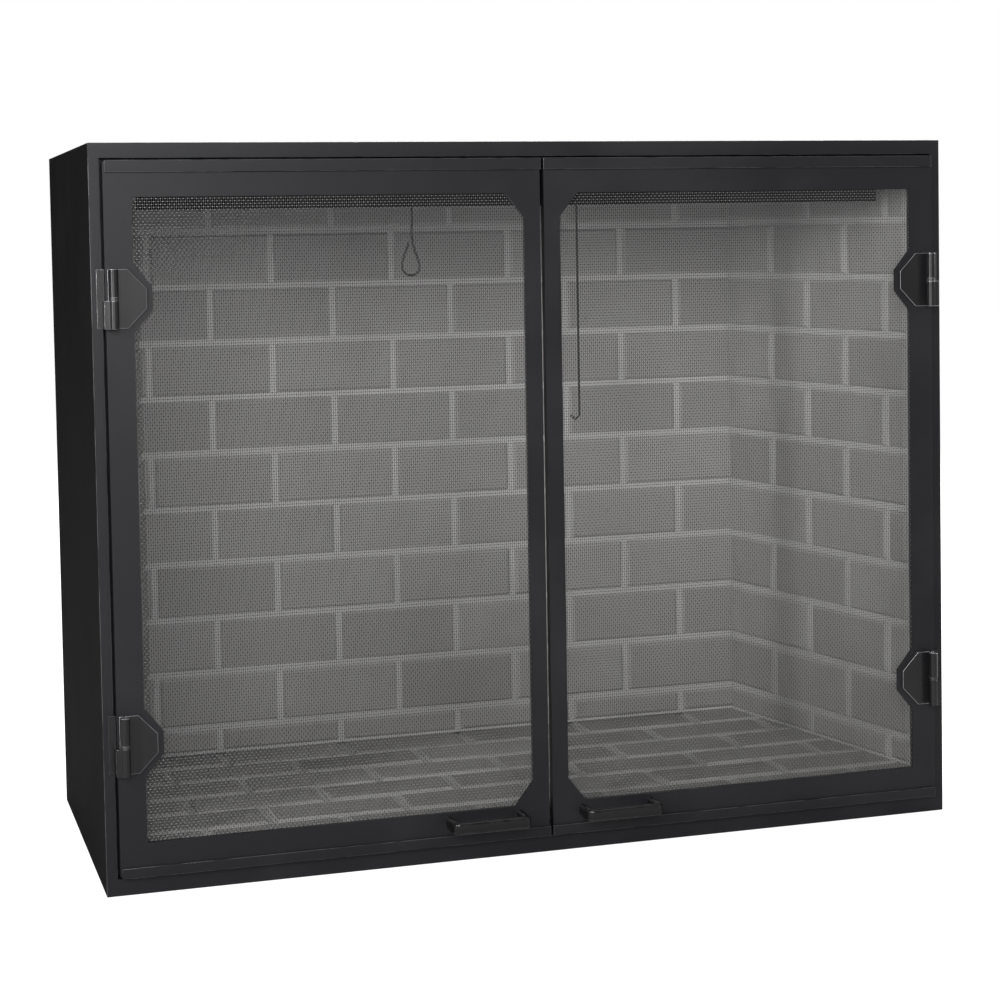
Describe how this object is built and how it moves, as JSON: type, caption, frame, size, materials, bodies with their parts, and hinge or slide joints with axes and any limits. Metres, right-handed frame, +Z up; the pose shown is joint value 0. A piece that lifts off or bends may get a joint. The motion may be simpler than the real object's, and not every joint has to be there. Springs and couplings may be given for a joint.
{
  "type": "fireplace screen",
  "caption": "Steel firebox front with hinged woven-mesh screen doors, bar handles, a brick-lined housing and a flap damper with wire pulls.",
  "frame": {"origin": "centre of the housing's underside", "axes": "+X to the right across the front, +Y from the front to the back, +Z up"},
  "size_m": [1.067, 0.501, 0.86],
  "materials": {
    "front_paint": "satin black powder coat",
    "housing_paint": "matt black high-heat paint",
    "hinge_paint": "semi-gloss black paint worn bright on the edges",
    "mesh_wire": "black painted woven steel wire",
    "bare_steel": "heat-darkened bare steel",
    "catch_plastic": "moulded black",
    "firebrick": "cast refractory with a rough fired face and paler joints"
  },
  "bodies": {
    "firebox": {"face_frame": "front_paint", "housing_left_side": "housing_paint", "housing_right_side": "housing_paint", "housing_top": "housing_paint", "housing_bottom": "housing_paint", "housing_back": "housing_paint", "lintel_shield": "housing_paint", "left_brick_panel": "firebrick", "right_brick_panel": "firebrick", "back_brick_panel": "firebrick", "hearth_slab": "firebrick", "flue_throat": "housing_paint", "damper_rod": "bare_steel", "damper_left_bracket": "housing_paint", "damper_right_bracket": "housing_paint", "left_magnetic_catch": "catch_plastic", "left_upper_frame_leaf": "hinge_paint", "left_upper_hinge_pin": "bare_steel", "left_upper_hinge_washer": "bare_steel", "left_lower_frame_leaf": "hinge_paint", "left_lower_hinge_pin": "bare_steel", "left_lower_hinge_washer": "bare_steel", "right_magnetic_catch": "catch_plastic", "right_upper_frame_leaf": "hinge_paint", "right_upper_hinge_pin": "bare_steel", "right_upper_hinge_washer": "bare_steel", "right_lower_frame_leaf": "hinge_paint", "right_lower_hinge_pin": "bare_steel", "right_lower_hinge_washer": "bare_steel"},
    "left_door": {"left_door_face": "front_paint", "left_door_top_channel": "front_paint", "left_door_bottom_channel": "front_paint", "left_mesh_panel": "mesh_wire", "left_mesh_retainer": "front_paint", "left_handle": "hinge_paint", "left_handle_outer_screw": "bare_steel", "left_handle_inner_screw": "bare_steel", "left_strike_plate": "bare_steel", "left_upper_door_leaf": "hinge_paint", "left_lower_door_leaf": "hinge_paint"},
    "right_door": {"right_door_face": "front_paint", "right_door_top_channel": "front_paint", "right_door_bottom_channel": "front_paint", "right_mesh_panel": "mesh_wire", "right_mesh_retainer": "front_paint", "right_handle": "hinge_paint", "right_handle_outer_screw": "bare_steel", "right_handle_inner_screw": "bare_steel", "right_strike_plate": "bare_steel", "right_upper_door_leaf": "hinge_paint", "right_lower_door_leaf": "hinge_paint"},
    "damper": {"damper_flap": "housing_paint"},
    "short_pull": {"short_damper_pull": "bare_steel"},
    "long_pull": {"long_damper_pull": "bare_steel"}
  },
  "joints": [
    {"name": "left_door_hinge", "type": "hinge", "parent": "firebox", "child": "left_door", "pos_m": [-0.5105, -0.249, 0.431], "axis": [0, 0, -1], "range_deg": [0, 160]},
    {"name": "right_door_hinge", "type": "hinge", "parent": "firebox", "child": "right_door", "pos_m": [0.5105, -0.249, 0.431], "axis": [0, 0, 1], "range_deg": [0, 160]},
    {"name": "damper_hinge", "type": "hinge", "parent": "firebox", "child": "damper", "pos_m": [0, 0.116, 0.842], "axis": [1, 0, 0], "range_deg": [0, 40]},
    {"name": "short_pull_swing", "type": "hinge", "parent": "damper", "child": "short_pull", "pos_m": [-0.1095, -0.042, 0.8508], "axis": [1, 0, 0], "range_deg": [-40, 0]},
    {"name": "long_pull_swing", "type": "hinge", "parent": "damper", "child": "long_pull", "pos_m": [0.1115, -0.042, 0.8508], "axis": [1, 0, 0], "range_deg": [-40, 0]}
  ],
  "couplings": [
    {"joint": "short_pull_swing", "follows": "damper_hinge", "ratio": -1},
    {"joint": "long_pull_swing", "follows": "damper_hinge", "ratio": -1}
  ]
}
